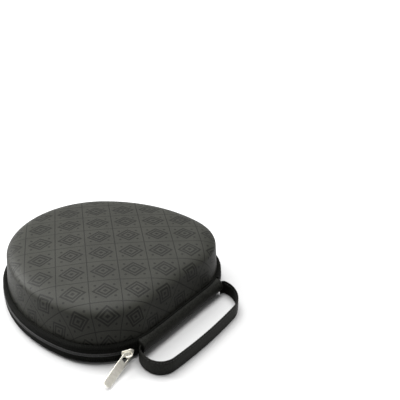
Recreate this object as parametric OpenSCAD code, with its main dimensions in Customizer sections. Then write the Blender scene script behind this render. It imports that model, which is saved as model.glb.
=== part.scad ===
// Hard-shell headphone carrying case: a shallow tray and a deep domed lid that open on a leather
// spine, closed by a zipper round the rim, with a leather wrist loop on the spine.
// X runs along the spine, +Y points to the spine, -Y to the narrow front, +Z up.
// The origin lies on the underside, midway between the spine and the front.

/* [Outline] */
// Half length of the straight back edge
back_half = 40.5; // [36:0.5:50]
// Radius of the two back corners
back_radius = 60.3; // [54:0.1:74]
// Angle that each back corner turns through
back_turn = 80; // [74:1:84]
// Radius of the two long sides
side_radius = 139; // [125:1:165]
// Angle that each side turns through
side_turn = 48.5; // [44:0.5:54]

/* [Heights] */
// Height of the closed case at the middle of its crown
case_h = 57; // [52:1:70]
// Height of the line where lid and tray meet
split_z = 10; // [9:0.5:13]
// Height of the lid's side wall, up to where the crown begins
wall_top_z = 43; // [36:1:46]
// Rise of the crown's dome above its shoulder
dome_rise = 4; // [2:0.5:8]
// Width of the crown's rounded shoulder, seen from above
shoulder_w = 25; // [15:1:32]
// How far the lid's side wall leans in over its height
wall_lean = 2.4; // [0:0.2:6]

/* [Layers] */
// Thickness of the patterned outer leather
leather_t = 0.9; // [0.6:0.1:1.4]
// Thickness of the moulded foam shell
shell_t = 2.6; // [1.8:0.1:4]
// Thickness of the woven lining
lining_t = 0.8; // [0.5:0.1:1.2]
// Glue line between two bonded layers
bond = 0.04; // [0.02:0.01:0.1]

/* [Rim] */
// Height of each half's zipper tape
tape_h = 8.1; // [6:0.1:8.4]
// Thickness of the zipper tape
tape_t = 1.2; // [0.8:0.1:1.6]
// Thickness of the foam that pads the rim behind the tape
edge_foam_t = 2.1; // [1:0.1:3]
// Height of each half's coil
coil_h = 1.3; // [1:0.1:1.8]
// How far the coil stands out from the tape
coil_t = 0.8; // [0.5:0.1:1.2]
// Width of the rim binding, measured over the wall's edge
binding_w = 5; // [4.6:0.1:7]
// Thickness of the rim binding
binding_t = 0.6; // [0.4:0.1:1]
// Depth of the binding's inner fold down the wall
binding_fold = 1.9; // [1:0.1:3]
// Gap between the two rims when the case is shut
rim_gap = 0.3; // [0.2:0.05:0.6]

/* [Spine] */
// Half length of the leather spine
spine_half = 58; // [50:0.5:60]
// Height of the spine
spine_h = 15.2; // [12:0.2:16]
// How far the spine's roll stands out from the rim
spine_bulge = 3; // [2:0.1:4]
// Thickness of the tape that lines the spine
hinge_tape_t = 1; // [0.6:0.1:1.4]

/* [Handle] */
// Height of the strap on edge
strap_w = 14; // [10:0.5:18]
// Thickness of one of the strap's two leathers
strap_t = 1.1; // [0.8:0.1:1.5]
// Radius of the small bend where the strap leaves the spine
strap_bend = 4; // [3:0.5:8]
// Radius of the strap's two large bends
loop_radius = 21.5; // [18:0.5:26]
// How far the loop sways towards the slider, for each millimetre away from the spine
strap_sway = 0.3; // [0:0.05:0.4]

/* [Slider and pull] */
// Angle round the back corner at which the slider is parked
slider_angle = 28; // [27:1:34]
// Length of the slider's plate
slider_len = 10.4; // [8:0.1:12]
// Height of the slider's plate
slider_h = 6.8; // [6:0.1:8]
// Thickness of the slider's plate
plate_t = 1; // [0.8:0.1:1.4]
// Clearance between the coil and the slider's plate
slider_gap = 1.1; // [1.0:0.1:1.6]
// Clear depth under the bail
bail_gap = 4; // [3.6:0.1:4.6]
// Thickness of the bail
bail_t = 0.9; // [0.7:0.1:1.2]
// Length of the pull
pull_len = 34; // [28:1:40]
// Width of the pull
pull_w = 7.6; // [6.5:0.1:9]
// Thickness of the pull
pull_t = 1.1; // [0.9:0.1:1.3]
// Angle that the pull's face leans outwards
pull_lean = 40; // [20:1:48]
// Angle that the pull stands out from the rim
pull_out = 38; // [30:1:44]

/* [Lid fittings] */
// Radius of the arched accessory tray
tray_radius = 67.5; // [58:0.5:70]
// Distance from the rim at the spine to the accessory tray's straight side
tray_from_back = 101; // [98:1:108]
// Depth that the accessory tray stands down from the lid's ceiling at its apex
tray_drop = 12; // [9:0.5:14]
// Radius of the accessory tray's two corners
tray_corner = 8; // [5:0.5:10]
// Length of the pocket's mouth
pocket_len = 89; // [74:1:94]
// Width of the pocket's mouth
pocket_w = 46; // [38:1:50]
// Depth of the pocket
pocket_depth = 8; // [6:0.5:9]
// Radius of the pocket's corners
pocket_corner = 9; // [7:0.5:12]
// Width of the tray's edge between its straight side and the pocket
pocket_edge = 4.5; // [3:0.5:6]
// How far the pocket's walls lean in
pocket_draft = 6; // [3:0.5:8]
// Width of the cable keeper
keeper_w = 33; // [28:1:38]
// Length of the cable keeper
keeper_len = 53; // [44:1:58]
// Radius of the cable keeper's corners
keeper_corner = 12; // [8:0.5:14]
// Thickness of the cable keeper
keeper_t = 1.6; // [1.2:0.1:2.2]
// Distance from the rim at the spine to the middle of the cable keeper
keeper_from_back = 42; // [38:1:46]

/* [Hidden] */

// Steps in each corner, side and half front of the outline
BACK_STEPS = 10;
SIDE_STEPS = 7;
FRONT_STEPS = 6;

// Outline: tangent arcs from the straight back edge to the front, with y = 0 at the back edge
side_heading = 90 - back_turn;
front_heading = side_heading - side_turn;
side_cx = back_half - (side_radius - back_radius) * cos(side_heading);
side_cy = -back_radius - (side_radius - back_radius) * sin(side_heading);
front_radius = side_radius + side_cx / cos(front_heading);
front_cy = side_cy + (side_radius - front_radius) * sin(front_heading);
case_depth = front_radius - front_cy;
back_y = case_depth / 2;

// Offsets inwards from the coil's outer face
tape_d = coil_t;
foam_d = tape_d + tape_t + bond;
cover_d = foam_d + edge_foam_t + bond;
wall_t = leather_t + shell_t + lining_t + 2 * bond;
base_rim_z = split_z - rim_gap / 2;
lid_rim_z = split_z + rim_gap / 2;
shell_e = leather_t + bond;
lining_e = shell_e + shell_t + bond;
room_e = lining_e + lining_t;

// Gap between the spine's ends and the zipper tapes, and size of the block that clears the back rim
spine_gap = 0.6;
BACK_BLOCK = 28;

function arc_point(cx, cy, r, a) = [cx + r * cos(a), back_y + cy + r * sin(a)];

// Right half of the outline moved in by d, from the back edge to just before the front
function half_outline(d) = concat(
  [for (i = [0:BACK_STEPS - 1])
    arc_point(back_half, -back_radius, back_radius - d, 90 - back_turn * i / BACK_STEPS)],
  [for (i = [0:SIDE_STEPS - 1])
    arc_point(side_cx, side_cy, side_radius - d, side_heading - side_turn * i / SIDE_STEPS)],
  [for (i = [0:FRONT_STEPS - 1])
    arc_point(0, front_cy, front_radius - d,
              front_heading - (90 + front_heading) * i / FRONT_STEPS)]
);

// Whole outline moved in by d, clockwise from the back edge's right end
function outline(d) =
  let (h = half_outline(d), n = len(h))
  concat(h, [[0, back_y - case_depth + d]], [for (i = [n - 1:-1:0]) [-h[i].x, h[i].y]]);

function level(points, z) = [for (p = points) [p.x, p.y, z]];
function shrunk(points, k) = [for (p = points) [p.x * k, p.y * k]];

// Solid from a stack of rings, closed at its first and last ring
module loft(rings) {
  n = len(rings[0]);
  m = len(rings);
  polyhedron(
    points = [for (r = rings) each r],
    faces = concat(
      [[for (i = [n - 1:-1:0]) i]],
      [for (k = [0:m - 2], i = [0:n - 1])
        [k * n + i, k * n + (i + 1) % n, (k + 1) * n + (i + 1) % n, (k + 1) * n + i]],
      [[for (i = [0:n - 1]) (m - 1) * n + i]]
    ),
    convexity = 4
  );
}

// Hollow shell: a stack of rings up the outside and another down the inside, open at the start
module hollow(outside, inside) {
  rings = concat(outside, inside);
  n = len(rings[0]);
  m = len(rings);
  turn = len(outside);
  polyhedron(
    points = [for (r = rings) each r],
    faces = concat(
      [for (k = [0:m - 1], i = [0:n - 1]) if (k != turn - 1)
        [k * n + i, k * n + (i + 1) % n, (k + 1) % m * n + (i + 1) % n, (k + 1) % m * n + i]],
      [[for (i = [0:n - 1]) (turn - 1) * n + i]],
      [[for (i = [n - 1:-1:0]) turn * n + i]]
    ),
    convexity = 8
  );
}

// Lid surface at depth e below the leather's face, from the rim up to the crown's middle
SHOULDER = [0, 22, 44, 64, 80, 90];
DOME = [0.75, 0.5, 0.25, 0.02];
function lid_rings(e, z0) =
  let (
    shoulder_z = case_h - dome_rise,
    wall_in = cover_d + wall_lean,
    top = outline(wall_in + shoulder_w + e)
  )
  concat(
    [level(outline(cover_d + e), z0)],
    [for (a = SHOULDER)
      level(outline(wall_in + shoulder_w * (1 - cos(a)) + e),
            wall_top_z + (shoulder_z - wall_top_z) * sin(a) - e)],
    [for (k = DOME) level(shrunk(top, k), shoulder_z + dome_rise * (1 - k * k) - e)]
  );
module lid_layer(e, t, z0) {
  hollow(lid_rings(e, z0), reversed(lid_rings(e + t, z0)));
}
function reversed(list) = [for (i = [len(list) - 1:-1:0]) list[i]];

// Tray surface at depth e above the leather's underside, from its top edge down to the floor.
// The bottom edge is rounded: TRAY_ROUND holds its width and height, TRAY_BEND the steps round it
TRAY_ROUND = [7, 5.5];
TRAY_BEND = [0, 30, 58, 90];
function tray_rings(e, z1) = concat(
  [level(reversed(outline(cover_d + e)), z1)],
  [for (a = TRAY_BEND)
    level(reversed(outline(cover_d + e + (TRAY_ROUND.x - e) * (1 - cos(a)))),
          e + (TRAY_ROUND.y - e) * (1 - sin(a)))]
);
module tray_layer(e, t, z1) {
  hollow(tray_rings(e, z1), reversed(tray_rings(e + t, z1)));
}

// Flat-sided ring between two offsets
module rim_ring(d0, d1, z0, z1) {
  translate([0, 0, z0])
  linear_extrude(z1 - z0)
  difference() {
    polygon(outline(d0));
    polygon(outline(d1));
  }
}

// Block that takes in the rim at the back, from x0 to x1
module back_block(x0, x1) {
  translate([x0, back_y - BACK_BLOCK / 2, -1]) cube([x1 - x0, BACK_BLOCK, case_h]);
}

// Everything of a ring but the stretch that the spine takes
module beside_spine() {
  reach = spine_half + spine_gap;
  difference() {
    children();
    back_block(-reach, reach);
  }
}

module base_cover() {
  color([0.13, 0.13, 0.12]) tray_layer(0, leather_t, base_rim_z - binding_t - bond);
}
module base_shell() {
  color([0.1, 0.1, 0.1]) tray_layer(shell_e, shell_t, base_rim_z - binding_t - bond);
}
module base_lining() {
  color([0.04, 0.04, 0.045]) tray_layer(lining_e, lining_t, base_rim_z - binding_t - bond);
}
module base_binding() {
  color([0.07, 0.07, 0.07]) union() {
    rim_ring(cover_d, cover_d + binding_w, base_rim_z - binding_t, base_rim_z);
    rim_ring(cover_d + wall_t + bond, cover_d + binding_w,
             base_rim_z - binding_t - binding_fold, base_rim_z - binding_t);
  }
}
module base_edge_foam() {
  color([0.08, 0.08, 0.08]) beside_spine()
    rim_ring(foam_d, cover_d - bond, base_rim_z - tape_h + 0.4, base_rim_z);
}
module base_zipper_tape() {
  color([0.05, 0.05, 0.05]) beside_spine()
    rim_ring(tape_d, tape_d + tape_t, base_rim_z - tape_h, base_rim_z);
}

// The far stop sits beside the spine, where the rim has fallen back behind the strap's root
stop_drop = 1.6;
stop_x = max(spine_half + 2.6, back_half + sqrt(stop_drop * (2 * back_radius - stop_drop)));

// The coil stops short of the slider's parking place and of the far end of the tape
module beside_stops() {
  reach = back_half + (back_radius + slider_len / 2) * sin(slider_angle) + slider_len / 4;
  difference() {
    children();
    back_block(-stop_x - 1.4, reach);
  }
}
module base_zipper_coil() {
  color([0.03, 0.03, 0.03]) beside_stops()
    rim_ring(0, tape_d - bond, base_rim_z - coil_h, base_rim_z);
}

// Two metal stops clamped on the tray's tape, one at each end of the coil
module zipper_stops() {
  stop = [1.6, 0.7, 2.4];
  tape_r = back_radius - tape_d;
  color([0.62, 0.6, 0.55])
  for (end = [[-1, asin((stop_x - back_half) / back_radius)], [1, slider_angle - 5.6]])
    translate([end[0] * (back_half + tape_r * sin(end[1])),
               back_y - back_radius + tape_r * cos(end[1]), base_rim_z - stop.z - 0.2])
    rotate(-end[0] * end[1])
    translate([-stop.x / 2, 2 * bond, 0]) cube(stop);
}

// Closed roll of leather along the spine, flat where it lies against the rim
spine_z = split_z - 0.2;
module spine_roll() {
  reach = cover_d - bond + spine_bulge;
  r = (spine_h * spine_h / 4 + reach * reach) / (2 * reach);
  intersection() {
    translate([0, back_y + spine_bulge - r, spine_z]) rotate([0, 90, 0])
      cylinder(r = r, h = 2 * spine_half, center = true, $fn = 96);
    translate([-spine_half, back_y - cover_d + bond, spine_z - spine_h / 2])
      cube([2 * spine_half, 2 * reach, spine_h]);
  }
}
module spine_cover() {
  color([0.1, 0.1, 0.095]) difference() {
    spine_roll();
    translate([0, 0, -1]) linear_extrude(case_h) polygon(outline(cover_d - 2 * bond - hinge_tape_t));
  }
}
module spine_lining() {
  height = spine_h - 2;
  color([0.05, 0.05, 0.05]) translate([0, 0, spine_z - height / 2]) linear_extrude(height)
  intersection() {
    translate([-spine_half, back_y - BACK_BLOCK / 2]) square([2 * spine_half, BACK_BLOCK]);
    difference() {
      polygon(outline(cover_d - bond - hinge_tape_t));
      polygon(outline(cover_d - bond));
    }
  }
}

module lid_cover() {
  color([0.24, 0.24, 0.22]) lid_layer(0, leather_t, lid_rim_z + binding_t + bond);
}
module lid_shell() {
  color([0.1, 0.1, 0.1]) lid_layer(shell_e, shell_t, lid_rim_z + binding_t + bond);
}
module lid_lining() {
  color([0.05, 0.05, 0.055]) lid_layer(lining_e, lining_t, lid_rim_z + binding_t + bond);
}
module lid_binding() {
  color([0.07, 0.07, 0.07]) union() {
    rim_ring(cover_d, cover_d + binding_w, lid_rim_z, lid_rim_z + binding_t);
    rim_ring(cover_d + wall_t + bond + 0.25, cover_d + binding_w,
             lid_rim_z + binding_t, lid_rim_z + binding_t + binding_fold);
  }
}
module lid_edge_foam() {
  color([0.08, 0.08, 0.08]) beside_spine()
    rim_ring(foam_d, cover_d - bond, lid_rim_z, lid_rim_z + tape_h - 0.4);
}
module lid_zipper_tape() {
  color([0.05, 0.05, 0.05]) beside_spine()
    rim_ring(tape_d, tape_d + tape_t, lid_rim_z, lid_rim_z + tape_h);
}
module lid_zipper_coil() {
  color([0.03, 0.03, 0.03]) beside_stops()
    rim_ring(0, tape_d - bond, lid_rim_z, lid_rim_z + coil_h);
}

// Arched accessory tray on the lid's ceiling, with a drafted pocket in its face
tray_y = back_y - tray_from_back;
tray_face_z = wall_top_z + (case_h - dome_rise - wall_top_z) * 0.86 - room_e - tray_drop;
module tray_outline() {
  hull() {
    intersection() {
      translate([0, tray_y - tray_corner / 2]) circle(r = tray_radius, $fn = 64);
      translate([-tray_radius, tray_y - 2 * tray_radius])
        square([2 * tray_radius, 2 * tray_radius - tray_corner]);
    }
    for (side = [-1, 1])
      translate([side * (tray_radius - tray_corner - 1), tray_y - tray_corner])
        circle(r = tray_corner, $fn = 32);
  }
}
module pocket_block(shrink, z0, z1) {
  x = pocket_len / 2 - shrink - pocket_corner;
  y = pocket_w / 2 - shrink * 0.7 - pocket_corner;
  for (sx = [-1, 1], sy = [-1, 1])
    translate([sx * x, tray_y - pocket_edge - pocket_w / 2 + sy * y, z0])
      cylinder(r = pocket_corner, h = z1 - z0, $fn = 32);
}
module accessory_tray() {
  color([0.11, 0.12, 0.13]) difference() {
    intersection() {
      translate([0, 0, tray_face_z]) linear_extrude(case_h) tray_outline();
      loft(lid_rings(room_e + bond, lid_rim_z));
    }
    hull() {
      pocket_block(0, tray_face_z - 1, tray_face_z);
      pocket_block(pocket_draft, tray_face_z, tray_face_z + pocket_depth);
    }
  }
}

// Leather cable keeper on the lid's ceiling: a rounded patch with a keyhole slit
module keeper_outline() {
  slit_len = keeper_len * 0.68;
  slit_w = 1.2;
  hole_d = 3.4;
  translate([0, back_y - keeper_from_back]) difference() {
    hull() for (sx = [-1, 1], sy = [-1, 1])
      translate([sx * (keeper_w / 2 - keeper_corner), sy * (keeper_len / 2 - keeper_corner)])
        circle(r = keeper_corner, $fn = 32);
    square([slit_w, slit_len], center = true);
    for (s = [-1, 1]) translate([0, s * slit_len / 2]) circle(d = hole_d, $fn = 24);
  }
}
module cable_keeper() {
  color([0.07, 0.07, 0.07]) intersection() {
    translate([0, 0, split_z + 5]) linear_extrude(case_h) keeper_outline();
    lid_layer(room_e + bond, keeper_t, lid_rim_z);
  }
}

// Slider, parked on the right back corner; its own frame has x along the track, y outwards
park_r = back_radius + slider_gap;
module on_track() {
  translate([back_half, back_y - back_radius, 0]) rotate(-slider_angle)
    translate([0, park_r, split_z]) children();
}
module slider_body() {
  lip = 0.7;
  nose = slider_h * 0.62;
  color([0.68, 0.66, 0.6]) on_track() union() {
    rotate([-90, 0, 0]) linear_extrude(plate_t) polygon([
      [-slider_len / 2, -nose / 2], [-slider_len / 2 + 2, -slider_h / 2],
      [slider_len / 2, -slider_h / 2], [slider_len / 2, slider_h / 2],
      [-slider_len / 2 + 2, slider_h / 2], [-slider_len / 2, nose / 2]]);
    translate([-slider_len / 2 + 2, 0.3 - slider_gap - coil_t, -slider_h / 2])
      cube([slider_len - 4, slider_gap + coil_t, lip]);
  }
}
bail_half = 3.4;
bail_w = 1.6;
bail_y = plate_t + bail_gap + bail_t;
module slider_bail() {
  color([0.72, 0.7, 0.64]) on_track() difference() {
    translate([-bail_half, plate_t, -bail_w / 2]) cube([2 * bail_half, bail_gap + bail_t, bail_w]);
    translate([bail_t - bail_half, 0, -bail_w])
      cube([2 * (bail_half - bail_t), plate_t + bail_gap, 2 * bail_w]);
  }
}

// Pull, hooked round the bail: it slopes down to the ground and leans out from the rim
pull_z = split_z - 0.1;
pull_droop = asin((pull_z - 0.2 - pull_w / 2 * cos(pull_lean) - pull_t / 2) / pull_len);
pull_x = bail_half - bail_t - 1.6;
pull_y = plate_t + bail_gap / 2 + 0.1;
module pull_tab() {
  window_w = 4.2;
  window_l = 6.4;
  bar = 1.1;
  tip = 1.6;
  head = 1.4;
  color([0.76, 0.74, 0.68]) on_track()
  translate([pull_x, pull_y, pull_z - split_z]) rotate([0, 0, pull_out]) rotate([0, pull_droop, 0])
  rotate([pull_lean, 0, 0])
  translate([-bar / 2, pull_t / 2, 0]) rotate([90, 0, 0]) linear_extrude(pull_t) difference() {
    polygon([
      [0, head - pull_w / 2], [head, -pull_w / 2], [pull_len - tip, -pull_w / 2],
      [pull_len, tip - pull_w / 2], [pull_len, pull_w / 2 - tip],
      [pull_len - tip, pull_w / 2], [head, pull_w / 2], [0, pull_w / 2 - head]]);
    translate([bar, -window_w / 2]) square([window_l, window_w]);
  }
}

// Strap loop in plan: out of the spine's end, round the small bend and the large bend, along the front
BEND_STEPS = 6;
LOOP_STEPS = 12;
RUN_STEPS = 4;
strap_root_x = spine_half + 0.5;
strap_root_y = back_y + 0.2;
first_turn = 72;
run_turn = 5;
function strap_half(off) =
  let (
    big_turn = 180 - run_turn - first_turn,
    bx = strap_root_x,
    by = strap_root_y + strap_bend,
    lx = bx + (strap_bend - loop_radius) * sin(first_turn),
    ly = by - (strap_bend - loop_radius) * cos(first_turn),
    ex = lx + loop_radius * sin(180 - run_turn),
    run_r = ex / sin(run_turn),
    ry = ly + (loop_radius - run_r) * cos(run_turn)
  )
  concat(
    [for (i = [0:BEND_STEPS - 1]) let (a = first_turn * i / BEND_STEPS)
      [bx + (strap_bend + off) * sin(a), by - (strap_bend + off) * cos(a)]],
    [for (i = [0:LOOP_STEPS - 1]) let (a = first_turn + big_turn * i / LOOP_STEPS)
      [lx + (loop_radius + off) * sin(a), ly - (loop_radius + off) * cos(a)]],
    [for (i = [0:RUN_STEPS - 1]) let (a = 180 - run_turn * (1 - i / RUN_STEPS))
      [(run_r + off) * sin(a), ry - (run_r + off) * cos(a)]]
  );
function strap_line(off) =
  let (h = strap_half(off), n = len(h))
  [for (p = concat(h, [for (i = [n - 1:-1:0]) [-h[i].x, h[i].y]]))
    [p.x + strap_sway * (p.y - strap_root_y), p.y]];
module strap_layer(off0, off1) {
  linear_extrude(strap_w) polygon(concat(strap_line(off0), reversed(strap_line(off1))));
}
module handle_outer() {
  color([0.11, 0.11, 0.105]) strap_layer(bond / 2, strap_t);
}
module handle_inner() {
  color([0.08, 0.08, 0.08]) strap_layer(-strap_t, -bond / 2);
}

base_cover();
base_shell();
base_lining();
base_binding();
base_edge_foam();
base_zipper_tape();
base_zipper_coil();
zipper_stops();
spine_cover();
spine_lining();
lid_cover();
lid_shell();
lid_lining();
lid_binding();
lid_edge_foam();
lid_zipper_tape();
lid_zipper_coil();
accessory_tray();
cable_keeper();
slider_body();
slider_bail();
pull_tab();
handle_outer();
handle_inner();
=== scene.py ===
import math

import bpy
import numpy as np
from mathutils import Matrix, Vector
from mathutils.bvhtree import BVHTree


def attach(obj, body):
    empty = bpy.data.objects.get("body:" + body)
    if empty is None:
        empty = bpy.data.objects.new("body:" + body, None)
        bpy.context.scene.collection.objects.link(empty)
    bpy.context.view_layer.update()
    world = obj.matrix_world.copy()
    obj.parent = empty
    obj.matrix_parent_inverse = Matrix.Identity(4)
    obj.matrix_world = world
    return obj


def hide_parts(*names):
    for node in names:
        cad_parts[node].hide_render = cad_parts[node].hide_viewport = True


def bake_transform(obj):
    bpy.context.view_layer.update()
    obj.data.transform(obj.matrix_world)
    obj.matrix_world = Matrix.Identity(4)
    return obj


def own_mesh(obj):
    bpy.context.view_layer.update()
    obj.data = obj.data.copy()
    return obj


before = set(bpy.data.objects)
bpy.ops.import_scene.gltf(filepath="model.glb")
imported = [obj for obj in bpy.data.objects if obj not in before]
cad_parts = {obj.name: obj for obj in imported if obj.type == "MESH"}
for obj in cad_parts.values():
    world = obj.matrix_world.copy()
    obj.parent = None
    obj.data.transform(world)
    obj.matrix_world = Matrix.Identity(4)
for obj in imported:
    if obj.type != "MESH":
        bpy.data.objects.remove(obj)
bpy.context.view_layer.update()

# Headphone carrying case. Sizes are in millimetres and the same as in the CAD source; MM turns
# them into the frame's metres. X runs along the spine, +Y points to the spine, +Z up.
MM = 0.001

# ---------------------------------------------------------------- driving sizes
BACK_HALF, BACK_R, BACK_TURN = 40.5, 60.3, math.radians(80)
SIDE_R, SIDE_TURN = 139.0, math.radians(48.5)
CASE_H, SPLIT_Z, WALL_TOP, DOME_RISE, SHOULDER_W, WALL_LEAN = 57.0, 10.0, 43.0, 4.0, 25.0, 2.4
LEATHER_T, SHELL_T, LINING_T, BOND = 0.9, 2.6, 0.8, 0.04
TAPE_H, TAPE_T, EDGE_FOAM_T, COIL_H, COIL_T = 8.1, 1.2, 2.1, 1.3, 0.8
RIM_GAP = 0.3
SPINE_HALF, SPINE_H, SPINE_BULGE, SPINE_GAP = 58.0, 15.2, 3.0, 0.6
STRAP_W, STRAP_T, STRAP_BEND, LOOP_R, STRAP_SWAY = 14.0, 1.1, 4.0, 21.5, 0.3
FIRST_TURN, RUN_TURN = math.radians(72), math.radians(5)
SLIDER_ANGLE, SLIDER_LEN, SLIDER_H, PLATE_T, SLIDER_GAP = math.radians(28), 10.4, 6.8, 1.0, 1.1
BAIL_GAP, BAIL_T, BAIL_HALF, BAIL_W = 4.0, 0.9, 3.4, 1.6
PULL_LEN, PULL_W, PULL_T, PULL_LEAN, PULL_OUT = 34.0, 7.6, 1.1, math.radians(40), math.radians(38)
TRAY_R, TRAY_FROM_BACK, TRAY_DROP, TRAY_CORNER = 67.5, 101.0, 12.0, 8.0
POCKET_LEN, POCKET_W, POCKET_DEPTH, POCKET_DRAFT = 89.0, 46.0, 8.0, 6.0
POCKET_CORNER, POCKET_EDGE = 9.0, 4.5
TRAY_ROUND = (7.0, 5.5)          # how far the lower corner of the base runs in and up
WALL_SHORT = 0.64                # the walls stop this far short of the rim, for the bindings
KEEPER_W, KEEPER_LEN, KEEPER_T, KEEPER_CORNER, KEEPER_FROM_BACK = 33.0, 53.0, 1.6, 12.0, 42.0

# ---------------------------------------------------------------- derived places
SIDE_HEADING = math.pi / 2 - BACK_TURN
FRONT_HEADING = SIDE_HEADING - SIDE_TURN
SIDE_C = np.array([BACK_HALF - (SIDE_R - BACK_R) * math.cos(SIDE_HEADING),
                   -BACK_R - (SIDE_R - BACK_R) * math.sin(SIDE_HEADING)])
FRONT_R = SIDE_R + SIDE_C[0] / math.cos(FRONT_HEADING)
FRONT_CY = SIDE_C[1] + (SIDE_R - FRONT_R) * math.sin(FRONT_HEADING)
BACK_Y = (FRONT_R - FRONT_CY) / 2
TAPE_D = COIL_T
FOAM_D = TAPE_D + TAPE_T + BOND
COVER_D = FOAM_D + EDGE_FOAM_T + BOND
LINING_E = LEATHER_T + SHELL_T + 2 * BOND
ROOM_E = LINING_E + LINING_T
BASE_RIM, LID_RIM = SPLIT_Z - RIM_GAP / 2, SPLIT_Z + RIM_GAP / 2
SHOULDER_Z = CASE_H - DOME_RISE
TRAY_FACE_Z = WALL_TOP + (SHOULDER_Z - WALL_TOP) * 0.86 - ROOM_E - TRAY_DROP
TRAY_Y = BACK_Y - TRAY_FROM_BACK
POCKET_Y = TRAY_Y - POCKET_EDGE - POCKET_W / 2

# ---------------------------------------------------------------- camera
CAM_PLACE = Vector((0.3925, 0.3925, 0.3876))
CAM_AZ, CAM_EL, CAM_ROLL = (math.radians(a) for a in (125.55, 27.91, 1.56))
CAM_LENS, CAM_SENSOR = 60.95, 36


def make_camera():
    back = Vector((math.sin(CAM_AZ) * math.cos(CAM_EL), -math.cos(CAM_AZ) * math.cos(CAM_EL),
                   math.sin(CAM_EL)))
    right = Vector((math.cos(CAM_AZ), math.sin(CAM_AZ), 0))
    up = back.cross(right)
    c, s = math.cos(CAM_ROLL), math.sin(CAM_ROLL)
    x, y = right * c + up * s, up * c - right * s
    cam = bpy.data.objects.new("camera", bpy.data.cameras.new("camera"))
    cam.data.lens, cam.data.sensor_width = CAM_LENS, CAM_SENSOR
    cam.data.clip_start, cam.data.clip_end = 0.01, 50
    cam.matrix_world = Matrix.Translation(CAM_PLACE) @ Matrix((x, y, back)).transposed().to_4x4()
    bpy.context.collection.objects.link(cam)
    bpy.context.scene.camera = cam


# ---------------------------------------------------------------- outline of the case
ARC = [BACK_HALF, BACK_R * BACK_TURN, SIDE_R * SIDE_TURN, FRONT_R * (math.pi / 2 + FRONT_HEADING)]
HALF_LEN = sum(ARC)


def rail(s):
    """Centre, radius and outward angle of the outline at distance s from the back's middle."""
    s = s % (2 * HALF_LEN)
    flip = s > HALF_LEN
    if flip:
        s = 2 * HALF_LEN - s
    if s <= ARC[0]:
        c, r, a = np.array([s, -BACK_R]), BACK_R, math.pi / 2
    elif s <= ARC[0] + ARC[1]:
        c, r = np.array([BACK_HALF, -BACK_R]), BACK_R
        a = math.pi / 2 - (s - ARC[0]) / BACK_R
    elif s <= ARC[0] + ARC[1] + ARC[2]:
        c, r = SIDE_C, SIDE_R
        a = SIDE_HEADING - (s - ARC[0] - ARC[1]) / SIDE_R
    else:
        c, r = np.array([0, FRONT_CY]), FRONT_R
        a = FRONT_HEADING - (s - ARC[0] - ARC[1] - ARC[2]) / FRONT_R
    if flip:
        c, a = np.array([-c[0], c[1]]), math.pi - a
    return c, r, a


def at(s, d):
    """Point in plan on the outline at s, moved in by d."""
    c, r, a = rail(s)
    return c[0] + (r - d) * math.cos(a), BACK_Y + c[1] + (r - d) * math.sin(a)


def stations(n):
    return [2 * HALF_LEN * i / n for i in range(n)]


# ---------------------------------------------------------------- meshes
def build(name, verts, faces, body, material, uvs=None, sharp=40, nodes=()):
    """A smooth mesh in the frame. verts in millimetres, uvs one per vertex, also in millimetres."""
    mesh = bpy.data.meshes.new(name)
    mesh.from_pydata([tuple(c * MM for c in v) for v in verts], [], faces)
    mesh.validate()
    if uvs is not None:
        layer = mesh.uv_layers.new(name="UVMap")
        loops = np.zeros(len(mesh.loops), np.int32)
        mesh.loops.foreach_get("vertex_index", loops)
        layer.data.foreach_set("uv", np.array(uvs, np.float32)[loops].ravel())
    finish_mesh(mesh, sharp)
    obj = bpy.data.objects.new(name, mesh)
    bpy.context.collection.objects.link(obj)
    return settle(obj, body, material, nodes)


def finish_mesh(mesh, sharp):
    """Faces out, smooth shading with edges above the angle kept sharp."""
    import bmesh
    bm = bmesh.new()
    bm.from_mesh(mesh)
    bmesh.ops.recalc_face_normals(bm, faces=bm.faces)
    for f in bm.faces:
        f.smooth = True
    for e in bm.edges:
        if len(e.link_faces) == 2 and e.calc_face_angle(0) > math.radians(sharp):
            e.smooth = False
    bm.to_mesh(mesh)
    bm.free()


def settle(obj, body, material, nodes=()):
    obj.data.materials.clear()
    obj.data.materials.append(material)
    if body:
        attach(obj, body)
    if nodes:
        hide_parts(*nodes)
    return obj


def skin(rings, wrap_rings=False, caps=(False, False)):
    """Quads between rings of equal length. caps closes the first and last ring with a fan."""
    n, m = len(rings[0]), len(rings)
    verts = [tuple(p) for r in rings for p in r]
    faces = []
    for k in range(m if wrap_rings else m - 1):
        a, b = k * n, (k + 1) % m * n
        for i in range(n):
            j = (i + 1) % n
            faces.append((a + i, a + j, b + j, b + i))
    for end, k in ((0, 0), (1, m - 1)):
        if caps[end]:
            verts.append(tuple(np.mean(rings[k], axis=0)))
            faces += [(len(verts) - 1, k * n + i, k * n + (i + 1) % n) for i in range(n)]
    return verts, faces


def run_lengths(points):
    out = [0.0]
    for a, b in zip(points, points[1:]):
        out.append(out[-1] + math.dist(a, b))
    return out


def sweep_rim(name, profile, body, material, s0=None, s1=None, n=220, nodes=()):
    """Closed (d, z) profile swept round the rim, or from s0 to s1. UV: along, round the profile."""
    closed = s0 is None
    ss = stations(n) if closed else [s0 + (s1 - s0) * i / (n - 1) for i in range(n)]
    rings = [[(*at(s, d), z) for d, z in profile] for s in ss]
    uvs = [(s, v) for s in ss for v in run_lengths(profile)]
    verts, faces = skin(rings, wrap_rings=closed, caps=(not closed, not closed))
    uvs += [(ss[0], 0), (ss[-1], 0)][: len(verts) - len(uvs)]
    return build(name, verts, faces, body, material, uvs, nodes=nodes)


ROUND = 216   # points round the outline in the covers and linings


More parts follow.
